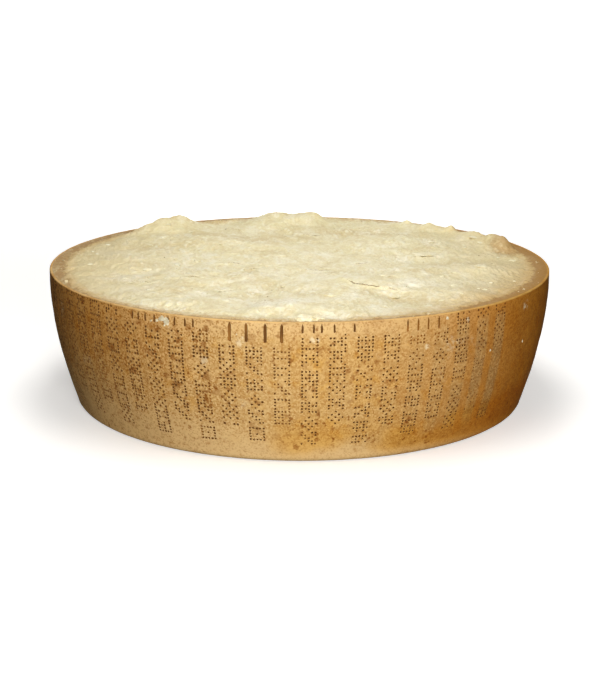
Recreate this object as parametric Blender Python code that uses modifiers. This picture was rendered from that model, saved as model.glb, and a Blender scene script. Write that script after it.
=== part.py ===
"""Half a wheel of aged hard cheese, split across its height, lying on its flat face.

The wheel was scored round its middle with a knife and then levered open, so the face that
looks up has a smooth cut band at its rim and a craggy break inside it. Rind and cheese are
one solid. Metres, +Z up, origin at the middle of the flat face that it rests on. The side
that the break's crack and front flake are on looks along -Y.
"""

import math
from collections import namedtuple

import bmesh
import bpy
from mathutils import Vector, noise
from mathutils.geometry import delaunay_2d_cdt

# Driving dimensions
BREAK_RADIUS = 0.215    # the wheel's middle, where it bulges most and was split
FACE_RADIUS = 0.1927    # the side carried down to the flat face, before its edge is rounded
HEIGHT = 0.1168         # from the flat face to the cut band, half of the whole wheel's height
BULGE_POWER = 1.818     # how late the side curves in: 1 is a cone, 2 a parabola
SIDE_SWELL = 0.0009     # how far the side stands proud of that curve halfway down
EDGE_ROUND = 0.0062     # radius of the edge round the flat face
RIM_BAND = 0.0120       # width of the smooth band that the knife cut
BAND_FADE = 0.0060      # the break reaches its full height this far inside the band

# Low unevenness over the whole break
ROLL_SIZE = 0.055       # length of the broad rolls
ROLL_HEIGHT = 0.0030
LUMP_SIZE = 0.017       # length of the small lumps
LUMP_HEIGHT = 0.0022

# How finely the shape is drawn
BREAK_RINGS = 28        # rings of triangles from the middle of the break to the band
SEGMENTS = 6 * BREAK_RINGS
SIDE_STEPS = 8
ROUND_STEPS = 3
POINT_SHIFT = 0.0018    # how far a point of the break strays from its ring

RIND_COLOUR = (0.56, 0.34, 0.12, 1)
PASTE_COLOUR = (0.83, 0.75, 0.50, 1)

# A ridge of the break: its middle, half its length and width, how high it stands, which way
# it runs in degrees from +X, and how much of its width is left on the steep side, which is
# the left one as it runs. A negative height is a trough.
Crag = namedtuple("Crag", "x y length width height turn steep")

CRAGS = (
    # The tall corner at the back left, which drops away to its right
    Crag(-0.127, 0.147, 0.034, 0.026, 0.0108, 48, 1.0),
    Crag(-0.116, 0.160, 0.012, 0.010, 0.0035, 60, 0.6),
    # The broad block at the back
    Crag(-0.030, 0.186, 0.024, 0.030, 0.0086, 178, 1.0),
    Crag(0.008, 0.187, 0.014, 0.026, 0.0084, 2, 0.8),
    # The jagged run at the back right
    Crag(0.104, 0.164, 0.009, 0.020, 0.0045, 58, 0.7),
    Crag(0.125, 0.149, 0.007, 0.018, 0.0036, 50, 0.7),
    Crag(0.143, 0.134, 0.008, 0.018, 0.0030, 44, 0.7),
    Crag(0.165, 0.108, 0.012, 0.020, 0.0080, 34, 0.8),
    Crag(0.182, 0.073, 0.014, 0.013, 0.0112, 112, 0.8),
    # Terraces and troughs across the middle
    Crag(0.145, -0.030, 0.048, 0.016, 0.0034, 4, 0.6),
    Crag(0.150, 0.012, 0.060, 0.014, -0.0040, 2, 1.0),
    Crag(0.075, 0.085, 0.050, 0.030, 0.0040, 15, 0.7),
    Crag(-0.075, 0.070, 0.060, 0.030, 0.0042, 172, 0.7),
    Crag(-0.155, 0.010, 0.022, 0.045, 0.0030, 10, 1.0),
    # The lip behind the long crack, and the trough that runs from it to the front
    Crag(0.052, -0.080, 0.034, 0.020, 0.0040, 150, 1.3),
    Crag(0.082, -0.132, 0.040, 0.013, -0.0046, 128, 1.0),
    Crag(-0.036, -0.130, 0.050, 0.012, -0.0032, 74, 1.0),
    # Where the cheese pulled up towards the front rim
    Crag(0.008, -0.172, 0.036, 0.024, 0.0042, 0, 1.0),
    Crag(-0.090, -0.150, 0.034, 0.020, 0.0030, 150, 1.0),
    Crag(0.135, -0.120, 0.030, 0.020, 0.0030, 40, 1.0),
)


def new_collection(name):
    collection = bpy.data.collections.new(name)
    bpy.context.scene.collection.children.link(collection)
    return collection


def food_material(name, colour, roughness):
    material = bpy.data.materials.new(name)
    material.use_nodes = True
    shader = material.node_tree.nodes["Principled BSDF"]
    shader.inputs["Base Color"].default_value = colour
    shader.inputs["Roughness"].default_value = roughness
    shader.inputs["Metallic"].default_value = 0
    return material


def side_radius(height):
    """The side's radius at a height, from the middle of the wheel down to its flat face."""
    drop = 1 - height / HEIGHT
    inward = (BREAK_RADIUS - FACE_RADIUS) * drop**BULGE_POWER
    return BREAK_RADIUS - inward + SIDE_SWELL * math.sin(math.pi * drop)


def outer_profile():
    """Radius and height from the band's inner edge, down the side, to the middle of the flat face."""
    points = [(BREAK_RADIUS - RIM_BAND, HEIGHT)]
    for step in range(SIDE_STEPS + 1):
        height = HEIGHT + (EDGE_ROUND - HEIGHT) * step / SIDE_STEPS
        points.append((side_radius(height), height))
    centre = side_radius(EDGE_ROUND) - EDGE_ROUND
    for step in range(1, ROUND_STEPS + 1):
        angle = math.pi / 2 * step / ROUND_STEPS
        radius = centre + EDGE_ROUND * math.cos(angle)
        points.append((radius, EDGE_ROUND - EDGE_ROUND * math.sin(angle)))
    points.append((0, 0))
    return points


def turned_mesh():
    """The band, side and flat face, turned round +Z and open where the break goes."""
    points = [(radius, 0, height) for radius, height in outer_profile()]
    edges = [(i, i + 1) for i in range(len(points) - 1)]
    profile = bpy.data.meshes.new("outer_profile")
    profile.from_pydata(points, edges, [])
    turned = bpy.data.objects.new("outer_profile", profile)
    bpy.context.scene.collection.objects.link(turned)
    screw = turned.modifiers.new("turn", "SCREW")
    screw.angle = 2 * math.pi
    screw.steps = SEGMENTS
    screw.render_steps = SEGMENTS
    screw.use_merge_vertices = True
    screw.merge_threshold = 0.00001
    graph = bpy.context.evaluated_depsgraph_get()
    mesh = bpy.data.meshes.new_from_object(turned.evaluated_get(graph))
    bpy.data.objects.remove(turned)
    return mesh


def crag_height(crag, x, y):
    turn = math.radians(crag.turn)
    along = (x - crag.x) * math.cos(turn) + (y - crag.y) * math.sin(turn)
    across = (y - crag.y) * math.cos(turn) - (x - crag.x) * math.sin(turn)
    width = crag.width * (crag.steep if across > 0 else 1)
    return crag.height * math.exp(-((along / crag.length) ** 2) - (across / width) ** 2)


def break_height(x, y):
    """How far the break stands above the band."""
    inside = BREAK_RADIUS - RIM_BAND - math.hypot(x, y)
    rise = sum(crag_height(crag, x, y) for crag in CRAGS)
    rise += ROLL_HEIGHT * noise.noise(Vector((x, y, 0.4)) / ROLL_SIZE)
    rise += LUMP_HEIGHT * noise.noise(Vector((x, y, 0.9)) / LUMP_SIZE)
    return rise * min(1, max(0, inside / BAND_FADE))


def strayed(point):
    """Moves a point of the break off its ring, so that the facets look broken."""
    across = noise.noise(Vector((point.x, point.y, 0.2)) / LUMP_SIZE)
    along = noise.noise(Vector((point.x, point.y, 0.6)) / LUMP_SIZE)
    return point + Vector((across, along)) * POINT_SHIFT


def break_points():
    """Rings of points with six more in each ring, so that they lie evenly spaced."""
    points = [Vector((0, 0))]
    ring_gap = (BREAK_RADIUS - RIM_BAND) / BREAK_RINGS
    for ring in range(1, BREAK_RINGS + 1):
        for place in range(6 * ring):
            angle = 2 * math.pi * place / (6 * ring)
            point = Vector((math.cos(angle), math.sin(angle))) * ring * ring_gap
            points.append(strayed(point) if ring < BREAK_RINGS else point)
    return points


def add_break(form):
    """Fills the opening at the top of the turned form with the craggy break."""
    points, _, triangles, *_ = delaunay_2d_cdt(break_points(), [], [], 0, 0.00001)
    corners = [form.verts.new((p.x, p.y, HEIGHT + break_height(p.x, p.y))) for p in points]
    for triangle in triangles:
        face = form.faces.new([corners[i] for i in triangle])
        face.material_index = 1


def half_wheel(collection):
    form = bmesh.new()
    turned = turned_mesh()
    form.from_mesh(turned)
    bpy.data.meshes.remove(turned)
    add_break(form)
    bmesh.ops.remove_doubles(form, verts=form.verts, dist=0.00005)
    bmesh.ops.recalc_face_normals(form, faces=form.faces)
    mesh = bpy.data.meshes.new("half_wheel")
    form.to_mesh(mesh)
    form.free()
    mesh.materials.append(food_material("rind", RIND_COLOUR, 0.55))
    mesh.materials.append(food_material("paste", PASTE_COLOUR, 0.75))
    mesh.shade_smooth()
    mesh.set_sharp_from_angle(angle=math.radians(35))
    collection.objects.link(bpy.data.objects.new("half_wheel", mesh))


def main():
    for old in list(bpy.data.objects):
        bpy.data.objects.remove(old)
    half_wheel(new_collection("half_wheel_of_hard_cheese"))


main()
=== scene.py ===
"""The looks of half a wheel of aged hard cheese, lying on its flat face with its break up.

The rind is a tray: its side carries columns of pressed dots and rows of tally strokes, each
pressed in as a real hollow, and its rim is the knife's cut edge. The paste fills the tray up
to the smooth cut band and the craggy break, with splits cut into it. Thin flakes lift from the
break, a little paste has spilled onto the front of the rim, chips of it stick to the rind, and
crumbs lie on the break and the band. All of these stand for the one solid of the frame.
"""

import math
from types import SimpleNamespace

import bmesh
import bpy
import numpy as np
from mathutils import Matrix, Vector, noise
from mathutils.bvhtree import BVHTree


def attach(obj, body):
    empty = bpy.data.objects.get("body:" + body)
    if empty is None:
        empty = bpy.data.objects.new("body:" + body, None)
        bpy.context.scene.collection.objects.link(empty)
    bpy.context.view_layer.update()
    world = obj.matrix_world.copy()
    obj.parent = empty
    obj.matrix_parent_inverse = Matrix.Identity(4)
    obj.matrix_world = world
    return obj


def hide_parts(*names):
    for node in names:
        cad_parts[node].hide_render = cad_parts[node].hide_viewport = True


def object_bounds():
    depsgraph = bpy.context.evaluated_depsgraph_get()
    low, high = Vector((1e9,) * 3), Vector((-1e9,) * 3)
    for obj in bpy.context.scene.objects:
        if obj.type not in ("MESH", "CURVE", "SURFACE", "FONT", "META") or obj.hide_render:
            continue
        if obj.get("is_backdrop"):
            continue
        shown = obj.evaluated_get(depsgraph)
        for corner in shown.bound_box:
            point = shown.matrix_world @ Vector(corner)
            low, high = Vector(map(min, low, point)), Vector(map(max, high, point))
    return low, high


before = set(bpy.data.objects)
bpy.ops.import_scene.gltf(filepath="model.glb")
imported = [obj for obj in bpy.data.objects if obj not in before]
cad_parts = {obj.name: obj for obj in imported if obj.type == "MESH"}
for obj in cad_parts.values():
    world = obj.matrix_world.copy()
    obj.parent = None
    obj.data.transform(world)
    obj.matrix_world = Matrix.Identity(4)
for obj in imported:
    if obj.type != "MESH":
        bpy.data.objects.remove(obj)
CAD_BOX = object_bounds()
SOLID = "half_wheel"

# The turned form, as the solid has it
BREAK_RADIUS = CAD_BOX[1][0]
FACE_RADIUS = 0.1927
RIM_HEIGHT = 0.1168
BULGE_POWER = 1.818
SIDE_SWELL = 0.0009
EDGE_ROUND = 0.0062

# The rind's tray
RIM_ROUND = 0.0007      # the cut edge is not quite sharp
RIM_LEDGE = 0.0020      # how far the tray's top reaches in before the paste begins
TRAY_DEPTH = 0.0140

# The pressed columns
COLUMNS = 64
COLUMN_CELLS = 7        # five columns of dots and two cells of bare rind
DOT_CELLS = 5
DOT_PITCH = math.radians(0.745)
FIRST_COLUMN = math.radians(-93.5)  # the column nearest the front, from +X
ROW_PITCH = 0.00262
ROWS = 42
DOT_RADIUS = 0.00086
DOT_DEPTH = 0.00100
MISSING_DOTS = 0.04     # the share of the dots that didn't take
STROKE_DEPTH = 0.0008
PLAIN_SIDE = (51.0, 78.0)  # no columns here, by azimuth from the front

# Where the textures are laid out
TEXTURE_MAP = "OFBake"
STRIPS = 4              # the rind's side, cut into strips
SEAM_COLUMN = 8         # the column that the first strip begins at
STRIP_GAP = 0.004


def facing(degrees):
    """Azimuth from the front, positive to the right as the camera sees it, as an angle from +X."""
    return math.radians(degrees) - math.pi / 2


def from_front(turn):
    """An angle from +X as an azimuth from the front, from -180 to 180 degrees."""
    return (math.degrees(turn) + 90 + 180) % 360 - 180


def side_radius(height):
    """The side's radius at a height, as the solid has it."""
    drop = 1 - height / RIM_HEIGHT
    radius = BREAK_RADIUS - (BREAK_RADIUS - FACE_RADIUS) * drop**BULGE_POWER
    return radius + SIDE_SWELL * np.sin(math.pi * drop)


# Reading the solid


def solid_surface():
    """The solid's broken face, as a height over each place inside the band."""
    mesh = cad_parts[SOLID].data
    points = [v.co for v in mesh.vertices]
    tree = BVHTree.FromPolygons(points, [p.vertices for p in mesh.polygons])
    step = 0.0015
    half = math.ceil(BREAK_RADIUS / step) + 6
    ticks = np.arange(-half, half + 1) * step
    heights = np.full((len(ticks), len(ticks)), RIM_HEIGHT)
    down = Vector((0, 0, -1))
    reach = BREAK_RADIUS - step
    for i, y in enumerate(ticks):
        for j, x in enumerate(ticks):
            if x * x + y * y < reach * reach:
                heights[i, j] = tree.ray_cast(Vector((x, y, 1)), down)[0].z
    return smoothed(heights - RIM_HEIGHT, 1), ticks


def smoothed(grid, sigma):
    """Blurs a grid, so that the solid's facets don't show."""
    reach = 3 * sigma
    offsets = np.arange(-reach, reach + 1)
    weights = np.exp(-(offsets**2) / (2 * sigma**2))
    weights /= weights.sum()
    for axis in (0, 1):
        grid = np.apply_along_axis(lambda line: np.convolve(line, weights, "same"), axis, grid)
    return grid


def sampled(grid, ticks, x, y):
    """A grid's values at places between its ticks."""
    step = ticks[1] - ticks[0]
    column = np.clip((x - ticks[0]) / step, 0, len(ticks) - 1.001)
    row = np.clip((y - ticks[0]) / step, 0, len(ticks) - 1.001)
    j, i = column.astype(int), row.astype(int)
    u, v = column - j, row - i
    near = grid[i, j] * (1 - u) + grid[i, j + 1] * u
    far = grid[i + 1, j] * (1 - u) + grid[i + 1, j + 1] * u
    return near * (1 - v) + far * v


# Shapes


def eased(value):
    value = np.clip(value, 0, 1)
    return value * value * (3 - 2 * value)


def unevenness(points, size, seed):
    """Smooth noise between about -1 and 1 at each point, with lumps of the size given."""
    shift = Vector((seed * 3.1, seed * 7.7, seed * 1.9))
    return np.array([noise.noise(Vector(p) / size + shift) for p in points])


def piece(name, points, faces, slots=None, smooth_below=35):
    """A mesh piece from points and faces, shaded smooth up to an angle between faces."""
    mesh = bpy.data.meshes.new(name)
    mesh.from_pydata(points, [], faces)
    if slots is not None:
        mesh.polygons.foreach_set("material_index", slots)
    mesh.shade_smooth()
    mesh.set_sharp_from_angle(angle=math.radians(smooth_below))
    mesh.update()
    made = bpy.data.objects.new(name, mesh)
    bpy.context.scene.collection.objects.link(made)
    return made


def side_profile():
    """Radius, height, outward normal and arc length from the rim, in fine steps down the side."""
    height = np.linspace(RIM_HEIGHT, EDGE_ROUND, 800)
    radius = side_radius(height)
    arc = np.concatenate([[0], np.cumsum(np.hypot(np.diff(radius), np.diff(height)))])
    slope = np.gradient(radius, height)
    length = np.hypot(1, slope)
    return SimpleNamespace(
        radius=radius, height=height, arc=arc, out=1 / length, up=-slope / length
    )


def tray_rows():
    """Each ring of the tray, from the middle of its inside floor, over the rim and down the
    side to the flat face: radius, height, normal outward and up, and whether it is uneven.
    Also the ring that the pressed rows begin at, and the one that the flat face begins at."""
    side = side_profile()
    rim = BREAK_RADIUS - RIM_ROUND
    rows = [(BREAK_RADIUS - RIM_LEDGE - 0.0004, RIM_HEIGHT - TRAY_DEPTH, -1, 0, 0)]
    rows.append((BREAK_RADIUS - RIM_LEDGE, RIM_HEIGHT - 0.00004, 0, 1, 0))
    for angle in (90, 55, 20):
        out, up = math.cos(math.radians(angle)), math.sin(math.radians(angle))
        height = RIM_HEIGHT - RIM_ROUND + RIM_ROUND * up
        rows.append((rim + RIM_ROUND * out, height, out, up, 0.4))
    first_row = len(rows)
    for row in range(ROWS + 1):
        arc = RIM_ROUND + row * ROW_PITCH
        out, up = np.interp(arc, side.arc, side.out), np.interp(arc, side.arc, side.up)
        radius = np.interp(arc, side.arc, side.radius)
        rows.append((radius, np.interp(arc, side.arc, side.height), out, up, 1))
    centre = side.radius[-1] - EDGE_ROUND
    for angle in (0, 22, 45, 68, 90):
        out, up = math.cos(math.radians(angle)), -math.sin(math.radians(angle))
        fade = 0.6 * (1 - angle / 90)
        rows.append((centre + EDGE_ROUND * out, EDGE_ROUND + EDGE_ROUND * up, out, up, fade))
    flat_ring = len(rows) - 1
    for share in (0.94, 0.85, 0.7, 0.5, 0.3, 0.12):
        rows.append((centre * share, 0, 0, -1, 0))
    return np.array(rows), first_row, flat_ring


def cell_turns():
    """The azimuth of each line between cells, all the way round."""
    gap = (2 * math.pi / COLUMNS - DOT_CELLS * DOT_PITCH) / (COLUMN_CELLS - DOT_CELLS)
    widths = [DOT_PITCH] * DOT_CELLS + [gap] * (COLUMN_CELLS - DOT_CELLS)
    lines = np.concatenate([[0], np.cumsum(widths)])[:-1]
    starts = FIRST_COLUMN - DOT_CELLS * DOT_PITCH / 2 + np.arange(COLUMNS) * 2 * math.pi / COLUMNS
    return (starts[:, None] + lines[None, :]).ravel()


# The marks pressed into the rind: plain figures, five dots wide, one string for each row

FIGURES = (
    ("xxxxx", "x...x", "x.x.x", "x...x", "xxxxx"),
    ("x...x", "xxxxx", "x...x", "xxxxx", "x...x"),
    ("x.x.x", ".x.x.", "x.x.x", ".x.x.", "x.x.x"),
    ("..x..", ".x.x.", "x.x.x", ".x.x.", "..x.."),
    ("xx.xx", "x...x", "xx.xx", "x...x", "xx.xx"),
    ("x.x.x", "xxxxx", "x.x.x", "xxxxx"),
    ("xxx.x", "x.xxx", "xxx.x", "x.xxx"),
    ("x..xx", "xx..x", ".xx..", "..xx.", "x..xx"),
    ("xxxxx", ".x.x.", "xxxxx", ".x.x."),
    ("x...x", "xx.xx", ".xxx.", "xx.xx", "x...x"),
)


def column_marks(column, rng):
    """Which dots of a column are pressed, row by row from the rim."""
    azimuth = from_front(FIRST_COLUMN + column * 2 * math.pi / COLUMNS)
    start, end = column_ends(column, azimuth)
    rows = np.zeros((ROWS, DOT_CELLS), bool)
    if PLAIN_SIDE[0] < azimuth < PLAIN_SIDE[1]:
        return rows
    row = start - (rng.integers(0, 3) if start == 0 else 0)
    while row < end:
        for line in FIGURES[rng.integers(len(FIGURES))]:
            if 0 <= row < end:
                rows[row] = [mark == "x" for mark in line]
            row += 1
        row += int(rng.random() < 0.45)
    return rows


def column_ends(column, azimuth):
    """The rows between which a column of dots runs. Every second one is longer, and those under
    tally strokes begin lower."""
    end = 39 if column % 2 else 33
    if -18 < azimuth < -2:
        return 7, end
    if -40 < azimuth < 33:
        return 3 if azimuth < 12 else 4, end
    return 0, end


# Tally strokes that the knife cut short, by azimuth from the front: where a row of them begins
# and ends, the gap between strokes, how many rows of cells they reach down, and their width
TALLIES = (
    (-37.0, -21.5, 1.8, 3, 0.0015),
    (-14.2, -3.7, 3.5, 6, 0.0023),
    (0.6, 11.0, 1.9, 3, 0.0015),
    (21.6, 31.4, 2.4, 4, 0.0015),
    (90.0, 104.0, 1.9, 3, 0.0015),
    (112.0, 122.5, 3.5, 6, 0.0023),
    (134.0, 152.0, 1.9, 3, 0.0015),
    (176.0, 187.0, 2.4, 4, 0.0015),
    (214.0, 231.0, 1.8, 3, 0.0015),
    (246.0, 256.5, 3.5, 6, 0.0023),
)


def stroke_cells(turns):
    """The cell that each tally stroke runs down, with its length in rows and its width."""
    strokes = {}
    for begin, end, gap, length, width in TALLIES:
        count = round((end - begin) / gap) + 1
        for place in range(count):
            if place % 5 == 4:
                continue
            turn = facing(begin + place * gap)
            away = np.abs((turns - turn + math.pi) % (2 * math.pi) - math.pi)
            strokes[int(away.argmin())] = length, width
    return strokes


def rind_marks(turns):
    """The pressed dots as a row by cell mask, and the tally strokes."""
    rng = np.random.default_rng(11)
    dots = np.zeros((ROWS, COLUMNS * COLUMN_CELLS), bool)
    for column in range(COLUMNS):
        first = column * COLUMN_CELLS
        dots[:, first : first + DOT_CELLS] = column_marks(column, rng)
    strokes = stroke_cells(turns)
    for cell, (length, _) in strokes.items():
        dots[: length + 1, cell - 1 : cell + 2] = False
    dots &= rng.random(dots.shape) > MISSING_DOTS
    return dots, strokes


def tray_points(rows, turns):
    """The tray's lattice of points, ring by ring, with the side's slight unevenness."""
    radius, height, out, up, rough = (rows[:, [k]] for k in range(5))
    lean = np.radians(1.3) * (1 - height / RIM_HEIGHT) * eased(np.sin(turns / 2 + 0.9) ** 2 - 0.2)
    turn = turns[None, :] + lean
    points = np.stack([radius * np.cos(turn), radius * np.sin(turn), height + 0 * turn], -1)
    normal = np.stack([out * np.cos(turn), out * np.sin(turn), up + 0 * turn], -1)
    flat = points.reshape(-1, 3)
    swell = 0.00045 * unevenness(flat, 0.045, 1) + 0.00028 * unevenness(flat, 0.014, 2)
    swell += 0.00012 * unevenness(flat, 0.006, 3)
    return points + normal * rough[..., None] * swell.reshape(*turn.shape, 1)


class Hollows:
    """Collects the points and faces of the tray, with a hollow where a mark is pressed."""

    def __init__(self, points):
        self.rings, self.round = points.shape[:2]
        self.points = [tuple(p) for p in points.reshape(-1, 3)]
        self.spots = [(cell, ring) for ring in range(self.rings) for cell in range(self.round)]
        self.faces, self.slots = [], []

    def corner(self, ring, cell):
        return ring * self.round + cell % self.round

    def corners(self, ring, cell):
        """A cell's corners, anticlockwise from outside, from the lower left one."""
        return (
            self.corner(ring + 1, cell),
            self.corner(ring + 1, cell + 1),
            self.corner(ring, cell + 1),
            self.corner(ring, cell),
        )

    def face(self, corners, slot=0):
        self.faces.append(corners)
        self.slots.append(slot)

    def inside(self, ring, cell):
        """A function that places a point in a cell, across and up it and under its surface,
        with the cell's width and height."""
        low_left, low_right, top_right, top_left = (
            np.array(self.points[k]) for k in self.corners(ring, cell)
        )
        normal = np.cross(low_right - low_left, top_left - low_left)
        normal /= np.linalg.norm(normal)

        def place(across, up, depth):
            low = low_left + (low_right - low_left) * across
            top = top_left + (top_right - top_left) * across
            self.points.append(tuple(low + (top - low) * up - normal * depth))
            self.spots.append((cell + across, ring + 1 - up))
            return len(self.points) - 1

        return place, np.linalg.norm(low_right - low_left), np.linalg.norm(top_left - low_left)

    def dot(self, ring, cell, radius, depth, shift):
        """A round hollow in the middle of a cell."""
        place, width, height = self.inside(ring, cell)
        low_left, low_right, top_right, top_left = self.corners(ring, cell)
        edge, bottom = [], []
        for k in range(8):
            angle = math.pi / 4 * k
            for points, size, down in ((edge, 1, 0), (bottom, 0.62, depth)):
                across = 0.5 + shift[0] + radius * size * math.cos(angle) / width
                up = 0.5 + shift[1] + radius * size * math.sin(angle) / height
                points.append(place(across, up, down))
        right, top_r, top, top_l, left, low_l, low, low_r = edge
        for corners in (
            (low_left, low, low_l), (low_left, low_right, low), (low_right, low_r, low),
            (low_right, right, low_r), (low_right, top_right, right), (top_right, top_r, right),
            (top_right, top, top_r), (top_right, top_left, top), (top_left, top_l, top),
            (top_left, left, top_l), (top_left, low_left, left), (low_left, low_l, left),
        ):
            self.face(corners)
        for k in range(8):
            after = (k + 1) % 8
            self.face((edge[k], edge[after], bottom[after], bottom[k]), 1)
        self.face(tuple(bottom), 1)

    def stroke(self, ring, cell, length, width, depth):
        """An upright groove down a column of cells, pointed at both ends."""
        share = width / self.inside(ring, cell)[1] / 2
        spread = (0.5 - share, 0.5 - 0.45 * share, 0.5 + 0.45 * share, 0.5 + share)
        above = None
        for step in range(length):
            place = self.inside(ring + step, cell)[0]
            low_left, low_right, top_right, top_left = self.corners(ring + step, cell)
            up = 0.3 if step == length - 1 else 0
            level = [place(at, up, down) for at, down in zip(spread, (0, depth, depth, 0))]
            if above is None:
                above = [place(0.5, 0.9, 0)] * 4
                self.face((top_right, top_left, above[0]))
            self.face((top_left, low_left, level[0], above[0]))
            self.face((low_right, top_right, above[3], level[3]))
            for a in range(3):
                around = (above[a], level[a], level[a + 1], above[a + 1])
                self.face(tuple(dict.fromkeys(around)), 1)
            above = level
        end = place(0.5, 0.12, 0)
        self.face((low_left, end, above[0]))
        self.face((low_left, low_right, end))
        self.face((low_right, above[3], end))
        for a in range(3):
            self.face((end, above[a + 1], above[a]), 1)

    def close_end(self, ring, height, upward):
        """A fan over one end of the tray."""
        self.points.append((0, 0, height))
        self.spots.append((0, ring))
        middle = len(self.points) - 1
        for cell in range(self.round):
            near, far = self.corner(ring, cell), self.corner(ring, cell + 1)
            self.face((near, far, middle) if upward else (far, near, middle))


def make_rind():
    rows, first_row, flat_ring = tray_rows()
    turns = cell_turns()
    dots, strokes = rind_marks(turns)
    side = Hollows(tray_points(rows, turns))
    rng = np.random.default_rng(5)
    taken = set()
    for cell, (length, width) in strokes.items():
        side.stroke(first_row, cell, length, width, STROKE_DEPTH)
        taken |= {(step, cell) for step in range(length)}
    for ring in range(side.rings - 1):
        row = ring - first_row
        for cell in range(side.round):
            if (row, cell) in taken:
                continue
            if 0 <= row < ROWS and dots[row, cell]:
                worn = 1 - 0.6 * worn_away(turns[cell], row)
                radius = DOT_RADIUS * worn * pressed_hard(turns[cell]) * rng.uniform(0.86, 1.12)
                shift = rng.uniform(-0.05, 0.05, 2)
                side.dot(ring, cell, radius, DOT_DEPTH * worn, shift)
            else:
                side.face(side.corners(ring, cell))
    side.close_end(0, rows[0, 1], True)
    side.close_end(side.rings - 1, 0, False)
    rind = piece("rind", side.points, side.faces, side.slots)
    lay_out_rind(rind, side, rows, flat_ring)
    return rind


def lay_out_rind(rind, side, rows, flat_ring):
    """Lays the side out in four strips, with the flat face and the tray's floor beside them."""
    steps = np.hypot(np.diff(rows[:, 0]), np.diff(rows[:, 1]))
    steps[0] *= 0.1
    down = np.concatenate([[0], np.cumsum(steps)])
    tall = down[flat_ring] + STRIP_GAP
    size = STRIPS * tall
    wide = 2 * math.pi * BREAK_RADIUS / STRIPS / size
    room = 1 - wide
    per_strip = side.round // STRIPS
    spots = np.array(side.spots)
    places = np.array(side.points)
    along = (spots[:, 0] - SEAM_COLUMN * COLUMN_CELLS) % side.round
    fall = np.interp(spots[:, 1], np.arange(len(down)), down)
    layer = rind.data.uv_layers.new(name=TEXTURE_MAP)
    corners = []
    for face in side.faces:
        face = list(face)
        rings = spots[face, 1]
        if rings.min() >= flat_ring:
            spread = places[face, :2] / FACE_RADIUS * 0.47 * room
            corners.append(spread + (wide + room / 2, room / 2))
        elif rings.max() == 0:
            spread = places[face, :2] / BREAK_RADIUS * 0.2 * room
            corners.append(spread + (wide + room / 2, 1.5 * room))
        else:
            cells = along[face]
            cells = np.where(cells < cells.max() - per_strip, cells + side.round, cells)
            strip = int((cells.min() + 0.001) // per_strip)
            u = (cells - strip * per_strip) / per_strip * wide
            v = (strip * tall + STRIP_GAP / 2 + fall[face]) / size
            corners.append(np.stack([u * 0.998 + 0.001, v], -1))
    layer.uv.foreach_set("vector", np.concatenate(corners).astype(np.float32).ravel())


def worn_away(turn, row):
    """How far the marks are rubbed out, from 0 to 1: most at the lower right of the front."""
    degrees = from_front(turn)
    beside = float(eased((degrees - 33) / 14) * eased((64 - degrees) / 12))
    return beside * float(eased((row - 10) / 5) * eased((33 - row) / 4))


def pressed_hard(turn):
    """How wide the marks are there, against elsewhere: widest at the left of the front."""
    degrees = from_front(turn)
    return 1 + 0.16 * float(eased((degrees + 75) / 15) * eased((-5 - degrees) / 15))


# The paste


def disc(rings, radius):
    """Points in rings of six, twelve, eighteen and so on, and the triangles between them."""
    places = [(0.0, 0.0)]
    for ring in range(1, rings + 1):
        angles = 2 * math.pi * np.arange(6 * ring) / (6 * ring)
        reach = radius * ring / rings
        places += list(zip(reach * np.cos(angles), reach * np.sin(angles)))
    faces = []
    for ring in range(1, rings + 1):
        outer, inner = 1 + 3 * ring * (ring - 1), 1 + 3 * (ring - 1) * (ring - 2)
        for sector in range(6):
            for step in range(ring):
                a = outer + sector * ring + step
                b = outer + (sector * ring + step + 1) % (6 * ring)
                within = (sector * (ring - 1) + step) % max(1, 6 * (ring - 1))
                c = inner + within if ring > 1 else 0
                faces.append((a, b, c))
                if step < ring - 1:
                    d = inner + (sector * (ring - 1) + step + 1) % (6 * (ring - 1))
                    faces.append((b, d, c))
    return np.array(places), faces


PASTE_RINGS = 176

# The splits in the break: the path of each, its width and its depth
SPLITS = (
    (
        (
            (0.0385, -0.0850), (0.0434, -0.0935), (0.0522, -0.0985),
            (0.0590, -0.0995), (0.0650, -0.1000),
        ),
        0.0020, 0.0045,
    ),
    (((0.0680, -0.1010), (0.0730, -0.1040), (0.0790, -0.1075)), 0.0010, 0.003),
    (((0.004, 0.121), (0.011, 0.118), (0.020, 0.120)), 0.0016, 0.003),
    (((0.044, -0.014), (0.051, -0.009), (0.059, -0.007)), 0.0014, 0.003),
    (((0.096, 0.023), (0.105, 0.026), (0.113, 0.025), (0.122, 0.028)), 0.0010, 0.003),
    (((-0.066, -0.011), (-0.058, -0.007), (-0.049, -0.010)), 0.0014, 0.003),
    (((-0.099, -0.070), (-0.091, -0.066), (-0.083, -0.069)), 0.0014, 0.003),
    (((-0.139, -0.086), (-0.130, -0.083), (-0.121, -0.087)), 0.0012, 0.003),
    (((-0.048, -0.031), (-0.040, -0.026), (-0.033, -0.028)), 0.0012, 0.003),
    (((0.000, -0.028), (0.012, -0.031), (0.026, -0.029)), 0.0010, 0.003),
)

# The width of the smooth cut band by azimuth from the front. Elsewhere broken paste hides it.
BAND_TURNS = (-180, -170, -150, -125, -80, -68, -54, 32, 46, 80, 115, 135, 150, 180)
BAND_WIDTHS = tuple(
    width / 1000 for width in (4, 7, 7, 12, 11, 8, 3.6, 4.2, 9, 13, 12, 10, 4, 4)
)

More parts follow.
